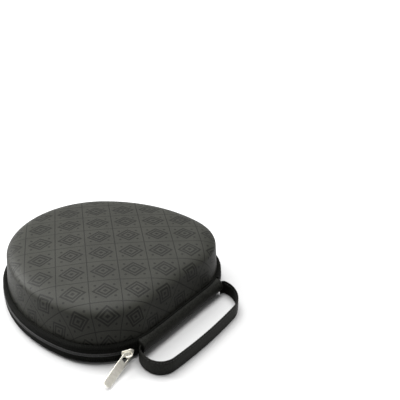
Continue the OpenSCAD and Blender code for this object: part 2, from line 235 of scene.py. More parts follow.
def lid_profile(e):
    """Inset and height of the lid's surface at depth e, from the rim to the shoulder's top."""
    z0 = LID_RIM + WALL_SHORT
    wall_in = COVER_D + WALL_LEAN
    pts = [(COVER_D + e + WALL_LEAN * t, z0 + (WALL_TOP - e - z0) * t) for t in np.linspace(0, 1, 9)]
    for a in np.linspace(0, math.pi / 2, 23)[1:]:
        pts.append((wall_in + SHOULDER_W * (1 - math.cos(a)) + e,
                    WALL_TOP + (SHOULDER_Z - WALL_TOP) * math.sin(a) - e))
    return pts


def tray_profile(e):
    """The same for the base, from the rim down to its flat underside."""
    pts = [(COVER_D + e, z) for z in np.linspace(BASE_RIM - WALL_SHORT, TRAY_ROUND[1] + 0.3, 4)]
    for a in np.linspace(0, math.pi / 2, 9):
        pts.append((COVER_D + e + (TRAY_ROUND[0] - e) * (1 - math.cos(a)),
                    e + (TRAY_ROUND[1] - e) * (1 - math.sin(a))))
    return pts


def closed_rings(profile, crown, steps):
    """Rings along a profile round the outline, then shrinking over the middle at heights crown(k).
    A point's UV is its place in plan, with the profile unrolled outwards."""
    lengths = run_lengths(profile)
    top_d = profile[-1][0]
    rings, uvs = [], []
    for (d, z), length in zip(profile, lengths):
        rings.append([(*at(s, d), z) for s in stations(ROUND)])
        uvs += [at(s, top_d - (lengths[-1] - length)) for s in stations(ROUND)]
    top = [at(s, top_d) for s in stations(ROUND)]
    for k in np.linspace(1, 0.03, steps + 1)[1:]:
        rings.append([(x * k, y * k, crown(k)) for x, y in top])
        uvs += [(x * k, y * k) for x, y in top]
    return rings, uvs


def lid_rings(e):
    return closed_rings(lid_profile(e), lambda k: SHOULDER_Z + DOME_RISE * (1 - k * k) - e, 16)


def tray_rings(e):
    return closed_rings(tray_profile(e), lambda k: e, 10)


def layer(name, body, rings_at, e, thickness, slot, material):
    """A closed sheet whose outer face lies e inside the skin of the case."""
    outer, uv_outer = rings_at(e)
    inner, uv_inner = rings_at(e + thickness)
    verts, faces = skin(outer[::-1] + inner, caps=(True, True))
    uvs = []
    for k in range(len(outer) - 1, -1, -1):
        uvs += uv_outer[k * ROUND:(k + 1) * ROUND]
    uvs += uv_inner + [(0, 0), (0, 0)]
    return build(name, verts, faces, body, material, uvs, nodes=(name,))


# ---------------------------------------------------------------- node materials
class Net:
    """A node material: math helpers over sockets, and its Principled shader."""

    def __init__(self, name):
        self.material = bpy.data.materials.new(name)
        self.material.use_nodes = True
        self.tree = self.material.node_tree
        self.tree.nodes.clear()
        self.out = self.tree.nodes.new("ShaderNodeOutputMaterial")
        self.bsdf = self.tree.nodes.new("ShaderNodeBsdfPrincipled")
        self.tree.links.new(self.bsdf.outputs[0], self.out.inputs[0])
        self.coords = self.add("ShaderNodeTexCoord").outputs["UV"]

    def add(self, kind, **settings):
        node = self.tree.nodes.new(kind)
        for key, value in settings.items():
            setattr(node, key, value)
        return node

    def put(self, socket, value):
        if isinstance(value, bpy.types.NodeSocket):
            self.tree.links.new(value, socket)
        else:
            socket.default_value = value

    def math(self, operation, a, b=0.0):
        node = self.add("ShaderNodeMath", operation=operation)
        for socket, value in zip(node.inputs, (a, b)):
            self.put(socket, value)
        return node.outputs[0]

    def ramp(self, value, lo, hi, to_lo=0.0, to_hi=1.0):
        node = self.add("ShaderNodeMapRange", interpolation_type="SMOOTHSTEP")
        for i, v in enumerate((value, lo, hi, to_lo, to_hi)):
            self.put(node.inputs[i], v)
        return node.outputs[0]

    def xy(self, scale=(1, 1), turn=0.0):
        """UV as two sockets and a vector, in millimetres, turned by an angle and scaled."""
        node = self.add("ShaderNodeMapping", vector_type="POINT")
        self.put(node.inputs[0], self.coords)
        node.inputs["Rotation"].default_value = (0, 0, turn)
        node.inputs["Scale"].default_value = (*scale, 1)
        parts = self.add("ShaderNodeSeparateXYZ")
        self.put(parts.inputs[0], node.outputs[0])
        return parts.outputs[0], parts.outputs[1], node.outputs[0]

    def noise(self, scale, detail=3, rough=0.55, coords=None):
        node = self.add("ShaderNodeTexNoise")
        self.put(node.inputs["Vector"], coords or self.coords)
        node.inputs["Scale"].default_value = scale
        node.inputs["Detail"].default_value = detail
        node.inputs["Roughness"].default_value = rough
        return node.outputs[0]

    def cells(self, scale):
        node = self.add("ShaderNodeTexVoronoi", feature="SMOOTH_F1")
        self.put(node.inputs["Vector"], self.coords)
        node.inputs["Scale"].default_value = scale
        return node.outputs[0]

    def mix(self, factor, a, b):
        node = self.add("ShaderNodeMix", data_type="RGBA")
        self.put(node.inputs[0], factor)
        for socket, value in ((node.inputs[6], a), (node.inputs[7], b)):
            self.put(socket, (*value, 1) if isinstance(value, tuple) else value)
        return node.outputs[2]

    def bump(self, height, distance, strength=1.0):
        node = self.add("ShaderNodeBump")
        node.inputs["Strength"].default_value = strength
        node.inputs["Distance"].default_value = distance
        self.put(node.inputs["Height"], height)
        self.put(self.bsdf.inputs["Normal"], node.outputs[0])

    def shade(self, color, rough, metallic=0.0, specular=0.5):
        self.put(self.bsdf.inputs["Base Color"], (*color, 1) if isinstance(color, tuple) else color)
        self.put(self.bsdf.inputs["Roughness"], rough)
        self.bsdf.inputs["Metallic"].default_value = metallic
        self.bsdf.inputs["Specular IOR Level"].default_value = specular
        return self.material


# The printed lattice: square cells with a nested lozenge, a dot and four corner dots in each
CELL, LATTICE_TURN, LATTICE_SHIFT = 27.2, math.radians(-137.2), (-3.1, -29.1)


def cover_leather():
    """au and av run from 0 in a cell's middle to 0.5 at its edges."""
    net = Net("cover_leather")
    u, v, _ = net.xy(turn=LATTICE_TURN)
    au, av = (net.math("ABSOLUTE", net.math("SUBTRACT", net.math("FRACT", net.math(
        "ADD", net.math("DIVIDE", net.math("SUBTRACT", c, shift), CELL), 40.5)), 0.5))
              for c, shift in zip((u, v), LATTICE_SHIFT))
    edge = net.math("MAXIMUM", au, av)
    line = net.ramp(edge, 0.480, 0.490)
    span = net.math("ADD", net.math("DIVIDE", au, 0.41), net.math("DIVIDE", av, 0.36))
    ring = net.math("ABSOLUTE", net.math("SUBTRACT", span, 0.93))
    inner = net.math("ABSOLUTE", net.math("SUBTRACT", span, 0.56))
    lozenge = net.math("MAXIMUM", net.ramp(ring, 0.13, 0.09), net.ramp(inner, 0.14, 0.09))
    centre = net.ramp(span, 0.24, 0.16)
    du, dv = net.math("SUBTRACT", au, 0.30), net.math("SUBTRACT", av, 0.27)
    corner = net.math("SQRT", net.math("ADD", net.math("MULTIPLY", du, du),
                                       net.math("MULTIPLY", dv, dv)))
    dots = net.math("MAXIMUM", centre, net.ramp(corner, 0.052, 0.034))
    motif = net.math("MAXIMUM", lozenge, dots)
    fleck = net.noise(2.6, 4, 0.7)
    worn = net.math("MULTIPLY", motif, net.ramp(fleck, 0.30, 0.62, 0.55, 1.0))
    cloud = net.noise(0.03, 3, 0.5)
    ground = net.mix(net.ramp(cloud, 0.35, 0.65), (0.0225, 0.0228, 0.0192), (0.0275, 0.0278, 0.0235))
    ground = net.mix(net.ramp(net.noise(1.7, 5, 0.7), 0.35, 0.7), ground, (0.0180, 0.0182, 0.0155))
    tone = net.mix(net.math("MULTIPLY", worn, 0.86), ground, (0.0040, 0.0040, 0.0035))
    tone = net.mix(net.math("MULTIPLY", line, 0.75), tone, (0.0040, 0.0040, 0.0035))
    grain = net.cells(1.5)
    fine = net.noise(3.6, 3)
    height = net.math("ADD", net.math("MULTIPLY", grain, 0.5), net.math("MULTIPLY", fine, 0.35))
    height = net.math("SUBTRACT", height, net.math("MULTIPLY", net.math("MAXIMUM", line, motif), 0.35))
    net.bump(height, 0.00016, 0.55)
    rough = net.ramp(net.noise(0.9, 3), 0.3, 0.7, 0.44, 0.56)
    return net.shade(tone, rough, specular=0.085)


def plain_leather(name, color, light):
    """Grained leather without a print."""
    net = Net(name)
    grain = net.cells(0.95)
    crease = net.noise(0.35, 4, 0.6)
    tone = net.mix(net.ramp(grain, 0.15, 0.6), color, light)
    tone = net.mix(net.ramp(crease, 0.42, 0.68, 0.0, 0.45), tone, color)
    height = net.math("ADD", net.math("MULTIPLY", grain, -0.6), net.math("MULTIPLY", crease, 0.7))
    net.bump(height, 0.00035, 0.6)
    return net.shade(tone, net.ramp(grain, 0.1, 0.6, 0.42, 0.6), specular=0.09)


def woven(name, color, light, pitch):
    """Plain weave: warp and weft threads passing over each other, with slight uneven colour."""
    net = Net(name)
    u, v, _ = net.xy(scale=(1 / pitch, 1 / pitch))
    su, sv = (net.math("SINE", net.math("MULTIPLY", c, math.pi)) for c in (u, v))
    over = net.math("MULTIPLY", su, sv)
    thread_u = net.math("ABSOLUTE", su)
    thread_v = net.math("ABSOLUTE", sv)
    pick = net.ramp(over, -0.2, 0.2)
    height = net.math("ADD", net.math("MULTIPLY", thread_u, pick),
                      net.math("MULTIPLY", thread_v, net.math("SUBTRACT", 1.0, pick)))
    fuzz = net.noise(1.9, 4, 0.7)
    height = net.math("ADD", height, net.math("MULTIPLY", fuzz, 0.5))
    cloud = net.noise(0.06, 3, 0.6)
    # painted shade: the tone follows the thread height, darker in the gaps between the threads
    tone = net.mix(net.ramp(height, 0.3, 1.2), color, light)
    tone = net.mix(net.ramp(cloud, 0.4, 0.65, 0.0, 0.3), tone, color)
    net.bump(height, 0.00018, 0.7)
    return net.shade(tone, 0.9, specular=0.04)


RIB_CROSS = 0.5   # pitch of the weft between the ribs


def ribbed(name, color, light, pitch, depth):
    """Tape with ribs across its run, as grosgrain and zipper tape have."""
    net = Net(name)
    u, v, _ = net.xy(scale=(1 / pitch, 1 / RIB_CROSS))
    rib = net.math("ABSOLUTE", net.math("SINE", net.math("MULTIPLY", u, math.pi)))
    cross = net.math("ABSOLUTE", net.math("SINE", net.math("MULTIPLY", v, math.pi)))
    height = net.math("ADD", rib, net.math("MULTIPLY", cross, 0.35))
    fuzz = net.noise(2.2, 3, 0.7)
    height = net.math("ADD", height, net.math("MULTIPLY", fuzz, 0.3))
    net.bump(height, depth, 0.8)
    # painted shade: the tone follows the rib height, darker in the grooves between the ribs
    tone = net.mix(net.ramp(height, 0.2, 1.4), color, light)
    return net.shade(tone, 0.85, specular=0.06)


def flock(name, color, light, pocket=None):
    """Smooth knit over moulded foam. A pocket (middle in y, half length, half width, corner) is darkened
    inside its outline: painted shade standing in for the shade in the recess."""
    net = Net(name)
    fuzz = net.noise(2.4, 4, 0.75)
    cloud = net.noise(0.05, 3, 0.6)
    tone = net.mix(net.ramp(cloud, 0.35, 0.65), color, light)
    tone = net.mix(net.ramp(fuzz, 0.3, 0.7, 0.0, 0.35), tone, color)
    if pocket:
        u, v, _ = net.xy()
        middle, half_u, half_v, corner = pocket
        past = [net.math("MAXIMUM", net.math("SUBTRACT", net.math("ABSOLUTE", c), half - corner), 0.0)
                for c, half in ((u, half_u), (net.math("SUBTRACT", v, middle), half_v))]
        reach = net.math("SQRT", net.math("ADD", net.math("MULTIPLY", past[0], past[0]),
                                          net.math("MULTIPLY", past[1], past[1])))
        # painted shade: inside the pocket's outline the knit is darkened to near black, standing in for the
        # shade in the recess
        tone = net.mix(net.ramp(reach, corner, corner - 1.2), tone, (0.0018, 0.0020, 0.0021))
    net.bump(fuzz, 0.0002, 0.6)
    return net.shade(tone, net.ramp(fuzz, 0.3, 0.7, 0.78, 0.92), specular=0.06)


def nickel():
    """Brushed plate."""
    net = Net("nickel")
    _, _, stretched = net.xy(scale=(0.35, 7.0))
    brush = net.noise(1.0, 4, 0.6, coords=stretched)
    spot = net.noise(0.5, 4, 0.6)
    tone = net.mix(net.ramp(spot, 0.35, 0.7), (0.93, 0.90, 0.81), (0.80, 0.77, 0.68))
    net.bump(brush, 0.00004, 0.35)
    return net.shade(tone, net.ramp(brush, 0.3, 0.7, 0.34, 0.50), metallic=1.0)


def plastic(name, color, light):
    """Nylon of the teeth and the sewing thread."""
    net = Net(name)
    spot = net.noise(1.2, 3)
    tone = net.mix(net.ramp(spot, 0.35, 0.65), color, light)
    net.bump(spot, 0.00003, 0.4)
    return net.shade(tone, net.ramp(spot, 0.3, 0.7, 0.36, 0.5), specular=0.4)


COVER = cover_leather()
STRAP = plain_leather("strap_leather", (0.0052, 0.0053, 0.0044), (0.0150, 0.0153, 0.0130))
KEEPER = plain_leather("keeper_leather", (0.0022, 0.0024, 0.0024), (0.0060, 0.0065, 0.0065))
SPINE = plain_leather("spine_leather", (0.0050, 0.0051, 0.0043), (0.0150, 0.0153, 0.0128))
LINING = woven("lining_weave", (0.0018, 0.0021, 0.0021), (0.0044, 0.0050, 0.0050), 0.8)
BINDING = ribbed("grosgrain", (0.0030, 0.0032, 0.0027), (0.0075, 0.0079, 0.0068), 0.9, 0.0003)
TAPE = ribbed("zipper_tape", (0.0020, 0.0021, 0.0017), (0.0060, 0.0062, 0.0052), 1.5, 0.0005)
COIL = plastic("coil_nylon", (0.004, 0.004, 0.004), (0.009, 0.009, 0.0085))
THREAD = plastic("thread", (0.004, 0.004, 0.004), (0.009, 0.009, 0.009))
# the pocket given to the tray knit is darkened inside as painted shade
TRAY = flock("tray_knit", (0.0028, 0.0042, 0.0052), (0.0046, 0.0066, 0.0080),
             (POCKET_Y, POCKET_LEN / 2, POCKET_W / 2, POCKET_CORNER))
NICKEL = nickel()
FOAM = flock("foam_edge", (0.006, 0.006, 0.006), (0.010, 0.010, 0.010))


# ---------------------------------------------------------------- covers, linings, rims
def covers():
    layer("lid_cover", "lid", lid_rings, 0, LEATHER_T, "cover_leather", COVER)
    layer("base_cover", "base", tray_rings, 0, LEATHER_T, "cover_leather", COVER)
    layer("base_lining", "base", tray_rings, LINING_E, LINING_T, "lining", LINING)
    return layer("lid_lining", "lid", lid_rings, LINING_E, LINING_T, "lining", LINING)


def rims():
    """Bindings over the walls' edges, drawn for the lid and mirrored for the tray."""
    for half, rim, up in (("lid", LID_RIM, 1), ("base", BASE_RIM, -1)):
        inner = COVER_D + 4.9
        lip = COVER_D + 4.45 + (0.28 if up > 0 else 0)
        profile = [(FOAM_D + 0.1, 1.1), (FOAM_D + 0.35, 0.35), (FOAM_D + 1.1, 0.05), (FOAM_D + 2.2, 0.0),
                   (COVER_D + 2.2, 0.0), (inner - 1.0, 0.02), (inner - 0.3, 0.22), (inner, 0.75),
                   (inner, 2.0), (inner - 0.2, 2.5), (lip, 2.45), (lip, 0.62), (COVER_D - 0.06, 0.62),
                   (COVER_D - 0.06, TAPE_H - 0.45), (FOAM_D + 0.1, TAPE_H - 0.45)]
        sweep_rim(half + "_binding", [(d, rim + up * z) for d, z in profile], half, BINDING,
                  nodes=(half + "_binding", half + "_edge_foam"))


REACH_END = SPINE_HALF + SPINE_GAP


def s_at_x(x, d=0.0):
    """Distance along the back corner where the outline's x is x."""
    return BACK_HALF + BACK_R * math.asin((x - BACK_HALF) / (BACK_R - d))


def tapes():
    s0 = s_at_x(REACH_END)
    s1 = 2 * HALF_LEN - s0
    for half, rim, up in (("lid", LID_RIM, 1), ("base", BASE_RIM, -1)):
        profile = [(0.92, 0.0), (0.84, 0.3), (0.84, 4.5), (0.95, 4.75), (1.2, 4.9), (0.95, 5.05),
                   (0.66, 5.35), (0.52, 6.0), (0.52, 6.7), (0.75, 7.4), (1.3, 7.9), (2.0, 8.1), (2.9, 8.05),
                   (3.6, 7.75), (4.0, 7.3), (4.12, 6.6), (1.95, 6.2), (1.95, 0.0)]
        if half == "base":
            profile = [(d, min(z, TAPE_H - 0.02)) for d, z in profile]
        sweep_rim(half + "_zipper_tape", [(d, rim + up * z) for d, z in profile], half,
                  TAPE, s0, s1, n=260, nodes=(half + "_zipper_tape",))


COIL_PITCH, TOOTH_HALF, TOOTH_BACK = 1.5, 0.46, 0.74
# height, inset and share of the half width at five levels of a tooth; inset and height of the cord
TOOTH = ((0.0, 0.45, 0.75), (0.04, 0.12, 1.0), (0.6, 0.04, 1.0), (1.15, 0.14, 0.9), (1.3, 0.5, 0.6))
CORD = ((0.30, 0.55), (0.42, COIL_H - 0.05), (0.76, COIL_H), (0.76, 0.35), (0.5, 0.3))


def coils():
    """Two rows of meshing teeth on a thin cord, from beside the slider round to the far stop."""
    start = BACK_HALF + BACK_R * SLIDER_ANGLE + SLIDER_LEN / 2 - 1
    stop = 2 * HALF_LEN - s_at_x(SPINE_HALF + 4) - 1
    steps = 240
    ss = [start + (stop - start) * i / steps for i in range(steps + 1)]
    for half, rim, up, phase in (("lid", LID_RIM, 1, 0.0), ("base", BASE_RIM, -1, 0.5)):
        parts = [skin([[(*at(s, d), rim + up * z) for d, z in CORD] for s in ss], caps=(True, True))]
        uvs = [(s, z) for s in ss for _, z in CORD] + [(start, 0), (stop, 0)]
        for i in range(int((stop - start) / COIL_PITCH)):
            s = start + (i + phase) * COIL_PITCH
            rings = []
            for z, d, k in TOOTH:
                w = TOOTH_HALF * k
                corners = ((s - w, TOOTH_BACK), (s - w, d), (s, d - 0.04), (s + w, d),
                           (s + w, TOOTH_BACK))
                rings.append([(*at(*corner), rim + up * z) for corner in corners])
            parts.append(skin(rings, caps=(True, True)))
            uvs += [(s, 0)] * len(parts[-1][0])
        verts, faces = merge(parts)
        build(half + "_zipper_coil", verts, faces, half, COIL, uvs,
              nodes=(half + "_zipper_coil",))


# ---------------------------------------------------------------- spine
# distance from an end and size of the section there: the folded hem and its stitched groove
HEM = ((0, 0.82), (0.25, 0.93), (0.8, 0.985), (1.6, 1.0), (2.6, 1.0), (3.1, 0.975), (3.5, 0.955),
       (4.2, 0.97), (5.4, 0.985))


def spine():
    """Leather roll along the hinge: half round outside, flat inside, a folded hem at each end."""
    mid = SPLIT_Z - 0.2
    reach = COVER_D - BOND + SPINE_BULGE
    r = (SPINE_H ** 2 / 4 + reach ** 2) / (2 * reach)
    cy = BACK_Y + SPINE_BULGE - r
    a1 = math.asin(SPINE_H / 2 / r)
    front = BACK_Y - COVER_D + BOND - 0.9
    section = [(cy + r * math.cos(a), mid + r * math.sin(a)) for a in np.linspace(-a1, a1, 25)]
    section += [(front + 0.4, mid + SPINE_H / 2 - 0.25), (front, mid + SPINE_H / 2 - 0.9)]
    section += [(front, mid + z) for z in np.linspace(SPINE_H / 2 - 2, -SPINE_H / 2 + 2, 9)]
    section += [(front, mid - SPINE_H / 2 + 0.9), (front + 0.4, mid - SPINE_H / 2 + 0.25)]
    lengths = run_lengths(section)
    centre = np.array([cy + r * 0.55, mid])
    span = 2 * SPINE_HALF
    places = list(HEM)
    places += [(x, 0.985) for x in np.linspace(7, span - 7, 44)]
    places += [(span - x, k) for x, k in HEM[::-1]]
    rings, uvs = [], []
    for x, k in places:
        ring = []
        for (y, z), v in zip(section, lengths):
            p = centre + (np.array([y, z]) - centre) * k
            if 7 <= x <= span - 7 and y > cy + r * 0.7:
                p[0] -= 0.16 * (1 + math.sin(x * 0.21 + 1.3)) * (0.5 + 0.5 * math.sin(v * 0.5))
            ring.append((x - SPINE_HALF, p[0], p[1]))
            uvs.append((x, v))
        rings.append(ring)
    verts, faces = skin(rings, caps=(True, True))
    uvs += [(0, 0), (span, 0)]
    roll = build("spine_roll", verts, faces, None, SPINE, uvs,
                 nodes=("spine_cover", "spine_lining"))
    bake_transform(roll)


# ---------------------------------------------------------------- wrist loop
def strap_rail():
    """Arcs of the loop's right half: centre, radius, start and end angle."""
    bx, by = SPINE_HALF + 0.5, BACK_Y + 0.2 + STRAP_BEND
    lx = bx + (STRAP_BEND - LOOP_R) * math.sin(FIRST_TURN)
    ly = by - (STRAP_BEND - LOOP_R) * math.cos(FIRST_TURN)
    run_r = (lx + LOOP_R * math.sin(math.pi - RUN_TURN)) / math.sin(RUN_TURN)
    ry = ly + (LOOP_R - run_r) * math.cos(RUN_TURN)
    return [((bx, by), STRAP_BEND, 0, FIRST_TURN), ((lx, ly), LOOP_R, FIRST_TURN, math.pi - RUN_TURN),
            ((0, ry), run_r, math.pi - RUN_TURN, math.pi)]


STRAP_ARCS = strap_rail()
STRAP_HALF = sum(r * (b - a) for _, r, a, b in STRAP_ARCS)
STITCH_PITCH, STITCH_END, STITCH_IN = 3.0, 4, 1.6


def strap_at(s, off):
    """Point in plan at distance s along the loop, moved outwards by off, and its direction."""
    flip = s > STRAP_HALF
    s = min(2 * STRAP_HALF - s if flip else s, STRAP_HALF)
    for (cx, cy), r, a, b in STRAP_ARCS:
        length = r * (b - a)
        if s <= length + 1e-6:
            angle = a + s / r
            x, y = cx + (r + off) * math.sin(angle), cy - (r + off) * math.cos(angle)
            sway = STRAP_SWAY * (y - BACK_Y - 0.2)
            return (sway - x, y, math.pi - angle) if flip else (sway + x, y, angle)
        s -= length
    return x, y, angle


def ellipsoid(centre, along, half, n=8, m=4):
    """Small rounded thread, half = (length, width, height), turned in plan by along."""
    c, s = math.cos(along), math.sin(along)
    rings = []
    for k in range(1, m):
        p = -math.pi / 2 + math.pi * k / m
        ring = []
        for i in range(n):
            t = 2 * math.pi * i / n
            x, y, z = (half[0] * math.sin(p), half[1] * math.cos(p) * math.cos(t),
                       half[2] * math.cos(p) * math.sin(t))
            ring.append((centre[0] + x * c - y * s, centre[1] + x * s + y * c, centre[2] + z))
        rings.append(ring)
    return skin(rings, caps=(True, True))


def merge(parts):
    verts, faces = [], []
    for v, f in parts:
        faces += [tuple(i + len(verts) for i in face) for face in f]
        verts += v
    return verts, faces


def strap_section(lo, hi, bow):
    """Offset and height round one layer of the strap, its faces at lo and hi, its middle bowed out."""
    section = [(lo, 0.35), (lo + 0.25, 0.05), (hi - 0.35, 0.05), (hi - 0.08, 0.4), (hi, 1.0)]
    section += [(hi - 0.12, 1.6), (hi - 0.02, 2.2)]
    section += [(hi + bow * math.sin(math.pi * t), 2.2 + (STRAP_W - 4.4) * t)
                for t in np.linspace(0.08, 0.92, 8)]
    section += [(hi - 0.02, STRAP_W - 2.2), (hi - 0.12, STRAP_W - 1.6), (hi, STRAP_W - 1.0)]
    section += [(hi - 0.08, STRAP_W - 0.4), (hi - 0.35, STRAP_W - 0.05), (lo + 0.25, STRAP_W - 0.05),
                (lo, STRAP_W - 0.35)]
    return section


def strap():
    total = 2 * STRAP_HALF
    n = 170
    for name, side in (("handle_outer", 1), ("handle_inner", -1)):
        section = strap_section(0.02, STRAP_T, 0.18)
        if side < 0:
            # a sheet without thickness at the strap's middle; its stitches stand STRAP_T further in
            section = [(-0.02, z) for _, z in strap_section(-STRAP_T, -0.02, 0)]
        lengths = run_lengths(section)
        rings, uvs = [], []
        for i in range(n):
            s = total * i / (n - 1)
            rings.append([(*strap_at(s, off)[:2], z) for off, z in section])
            uvs += [(s, v) for v in lengths]
        verts, faces = skin(rings, caps=(True, True))
        uvs += [(0, 0), (total, 0)]
        piece = build(name, verts, faces, "handle", STRAP, uvs, nodes=(name,))
        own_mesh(piece)
        threads = []
        count = int((total - 2 * STITCH_END) / STITCH_PITCH)
        for i in range(count):
            s = STITCH_END + (total - 2 * STITCH_END) * (i + 0.5) / count
            x, y, a = strap_at(s, side * (STRAP_T - 0.06))
            for z in (STITCH_IN, STRAP_W - STITCH_IN):
                threads.append(ellipsoid((x, y, z), a, (1.15, 0.22, 0.26)))
        verts, faces = merge(threads)
        stitch = build(name + "_stitches", verts, faces, "handle", THREAD,
                       [(v[0], v[1]) for v in verts], sharp=80)
        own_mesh(stitch)


# ---------------------------------------------------------------- slider and pull
def plate(loops, thickness, bevel):
    """Flat piece with holes from (point, radius) loops: rounded edges, in the XY plane, z centred."""
    curve = bpy.data.curves.new("plate", "CURVE")
    curve.dimensions, curve.fill_mode = "2D", "BOTH"
    for loop in loops:
        pts = rounded(loop)
        spline = curve.splines.new("POLY")
        spline.points.add(len(pts) - 1)
        for p, q in zip(spline.points, pts):
            p.co = (*q, 0, 1)
        spline.use_cyclic_u = True
    curve.extrude, curve.bevel_depth, curve.bevel_resolution = thickness / 2 - bevel, bevel, 3
    curve.offset = -bevel
    obj = bpy.data.objects.new("plate", curve)
    bpy.context.collection.objects.link(obj)
    mesh = bpy.data.meshes.new_from_object(obj.evaluated_get(bpy.context.evaluated_depsgraph_get()))
    verts = [tuple(v.co) for v in mesh.vertices]
    faces = [tuple(p.vertices) for p in mesh.polygons]
    bpy.data.objects.remove(obj)
    bpy.data.curves.remove(curve)
    bpy.data.meshes.remove(mesh)
    return welded(verts, faces)


def welded(verts, faces):
    index, out, remap = {}, [], []
    for v in verts:
        key = tuple(round(c, 4) for c in v)
        if key not in index:
            index[key] = len(out)
            out.append(v)
        remap.append(index[key])
    kept = []
    for f in faces:
        g = []
        for i in f:
            if remap[i] not in g:
                g.append(remap[i])
        if len(g) > 2:
            kept.append(tuple(g))
    return out, kept


def rounded(loop, steps=5):
    """Corners (x, y, radius) of a polygon as rounded points."""
    pts = []
    n = len(loop)
    for i in range(n):
        x, y, r = loop[i]
        p = np.array([x, y], float)
        a = np.array(loop[i - 1][:2], float) - p
        b = np.array(loop[(i + 1) % n][:2], float) - p
        a, b = a / np.linalg.norm(a), b / np.linalg.norm(b)
        if r < 1e-6:
            pts.append(tuple(p))
            continue
        half = math.acos(max(-1, min(1, float(a @ b)))) / 2
        cut = r / math.tan(half)
        centre = p + (a + b) / np.linalg.norm(a + b) * (r / math.sin(half))
        start, end = p + a * cut - centre, p + b * cut - centre
        t0, t1 = math.atan2(start[1], start[0]), math.atan2(end[1], end[0])
        turn = (t1 - t0 + math.pi) % (2 * math.pi) - math.pi
        for k in range(steps + 1):
            t = t0 + turn * k / steps
            pts.append((centre[0] + r * math.cos(t), centre[1] + r * math.sin(t)))
    return pts


def moved(part, matrix):
    verts, faces = part
    return [tuple(matrix @ Vector(v)) for v in verts], faces


def track_matrix():
    """The slider's own frame: x along the track, y outwards, z up."""
    return (Matrix.Translation((BACK_HALF, BACK_Y - BACK_R, 0)) @ Matrix.Rotation(-SLIDER_ANGLE, 4, "Z")
            @ Matrix.Translation((0, BACK_R + SLIDER_GAP, SPLIT_Z)))


UPRIGHT = Matrix.Rotation(math.radians(-90), 4, "X")   # XY plate stood on edge, its z turned to y


def flat_uv(verts, matrix):
    inverse = matrix.inverted()
    out = []
    for v in verts:
        p = inverse @ Vector(v)
        out.append((p.x, p.z + p.y * 0.5))
    return out


def slider():
    track = track_matrix()
    h, half = SLIDER_H / 2, SLIDER_LEN / 2
    nose = SLIDER_H * 0.31
    loop = [(-half, -nose, 0.9), (-half + 2, -h, 0.9), (half, -h, 0.8), (half, h, 0.8),
            (-half + 2, h, 0.9), (-half, nose, 0.9)]
    body = moved(plate([loop], PLATE_T, 0.28), track @ Matrix.Translation((0, PLATE_T / 2, 0)) @ UPRIGHT)
    lip = [(-half + 2, -SLIDER_GAP - COIL_T + 0.3, 0.3), (half - 2, -SLIDER_GAP - COIL_T + 0.3, 0.3),
           (half - 2, 0.2, 0.1), (-half + 2, 0.2, 0.1)]
    flange = moved(plate([lip], 0.7, 0.15), track @ Matrix.Translation((0, 0, -h + 0.35)))
    crown = [(-half + 2.6, -h + 1.6, 0.7), (half - 1.2, -h + 1.6, 0.7), (half - 1.2, h - 1.6, 0.7),
             (-half + 2.6, h - 1.6, 0.7)]
    ridge = moved(plate([crown], 0.7, 0.25), track @ Matrix.Translation((0, PLATE_T + 0.05, 0)) @ UPRIGHT)
    verts, faces = merge([body, flange, ridge])
    build("slider_body", verts, faces, "slider", NICKEL, flat_uv(verts, track), sharp=50,
          nodes=("slider_body",))

    mid = BAIL_T / 2
    out_x, root_y, crest_y = BAIL_HALF - mid, PLATE_T - 0.3, PLATE_T + BAIL_GAP + mid
    path = rounded([(-out_x, root_y, 0), (-out_x, crest_y, 1.7), (out_x, crest_y, 1.7),
                    (out_x, root_y, 0)], 7)
    rings = []
    for i, (x, y) in enumerate(path):
        a, b = path[max(i - 1, 0)], path[min(i + 1, len(path) - 1)]
        t = np.array([b[0] - a[0], b[1] - a[1]])
        t = t / np.linalg.norm(t)
        nx, ny = -t[1], t[0]
        ring = []
        for q in range(12):
            w = 2 * math.pi * q / 12
            c, s = math.cos(w), math.sin(w)
            flat = abs(c) ** 0.6 * (1 if c > 0 else -1) * mid
            tall = abs(s) ** 0.6 * (1 if s > 0 else -1) * BAIL_W / 2
            ring.append(tuple(track @ Vector((x + nx * flat, y + ny * flat, tall))))
        rings.append(ring)
    verts, faces = skin(rings, caps=(True, True))
    build("slider_bail", verts, faces, "slider", NICKEL, flat_uv(verts, track), sharp=50,
          nodes=("slider_bail",))


PULL_Z = SPLIT_Z - 0.1


def pull():
    droop = math.asin((PULL_Z - 0.2 - PULL_W / 2 * math.cos(PULL_LEAN) - PULL_T / 2) / PULL_LEN)
    pivot = (BAIL_HALF - BAIL_T - 1.6, PLATE_T + BAIL_GAP / 2 + 0.1, PULL_Z - SPLIT_Z)
    place = (track_matrix() @ Matrix.Translation(pivot) @ Matrix.Rotation(PULL_OUT, 4, "Z")
             @ Matrix.Rotation(droop, 4, "Y") @ Matrix.Rotation(PULL_LEAN, 4, "X")
             @ Matrix.Translation((-0.55, 0, 0)) @ Matrix.Rotation(math.radians(90), 4, "X"))
    w = PULL_W / 2
    head, tip = 1.4, 1.6
    outer = [(0, head - w, 0.3), (head, -w, 0.6), (PULL_LEN - tip, -w, 0.5), (PULL_LEN, tip - w, 0.5),
             (PULL_LEN, w - tip, 0.5), (PULL_LEN - tip, w, 0.5), (head, w, 0.6), (0, w - head, 0.3)]
    window = [(1.1, -2.1, 0.7), (7.5, -2.1, 0.9), (7.5, 2.1, 0.9), (1.1, 2.1, 0.7)]
    verts, faces = moved(plate([outer, window], PULL_T, 0.22), place)
    build("pull_tab", verts, faces, "pull", NICKEL, flat_uv(verts, place), sharp=50,
          nodes=("pull_tab",))


